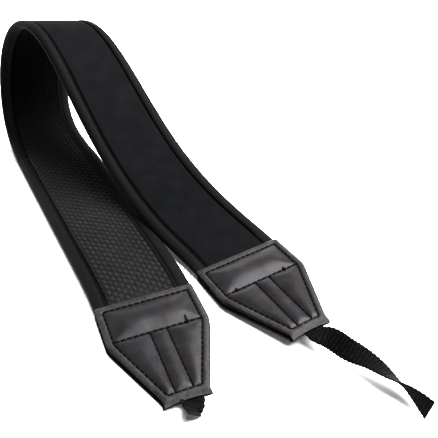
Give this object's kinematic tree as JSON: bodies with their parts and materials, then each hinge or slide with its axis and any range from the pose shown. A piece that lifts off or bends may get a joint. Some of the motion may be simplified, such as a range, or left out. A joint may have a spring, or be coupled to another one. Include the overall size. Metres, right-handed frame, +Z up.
{
  "type": "camera neck strap",
  "caption": "Padded camera neck strap folded over in a standing loop: bound foam band with a textured lining, stitched leather tabs and webbing ends",
  "frame": {"origin": "on the surface that the strap lies on, under the middle of its box", "axes": "+Z up from the surface, +Y from the tabs towards the standing bend, +X to the right as seen from the tabs' end"},
  "size_m": [0.2492, 0.2964, 0.0896],
  "materials": {
    "neoprene": "matt black foam rubber with a smooth knit face",
    "grip_lining": "matt charcoal non-slip lining with small raised bumps",
    "binding": "black woven binding tape with fine ribs",
    "tab_leather": "dark grey leather with a soft sheen",
    "webbing": "matt black ribbed webbing"
  },
  "bodies": {
    "root": {"neoprene_core": "neoprene", "grip_lining": "grip_lining", "left_edge_binding": "binding", "right_edge_binding": "binding", "left_tab_front": "tab_leather", "left_tab_back": "tab_leather", "right_tab_front": "tab_leather", "right_tab_back": "tab_leather", "left_webbing": "webbing", "right_webbing": "webbing"}
  },
  "joints": []
}
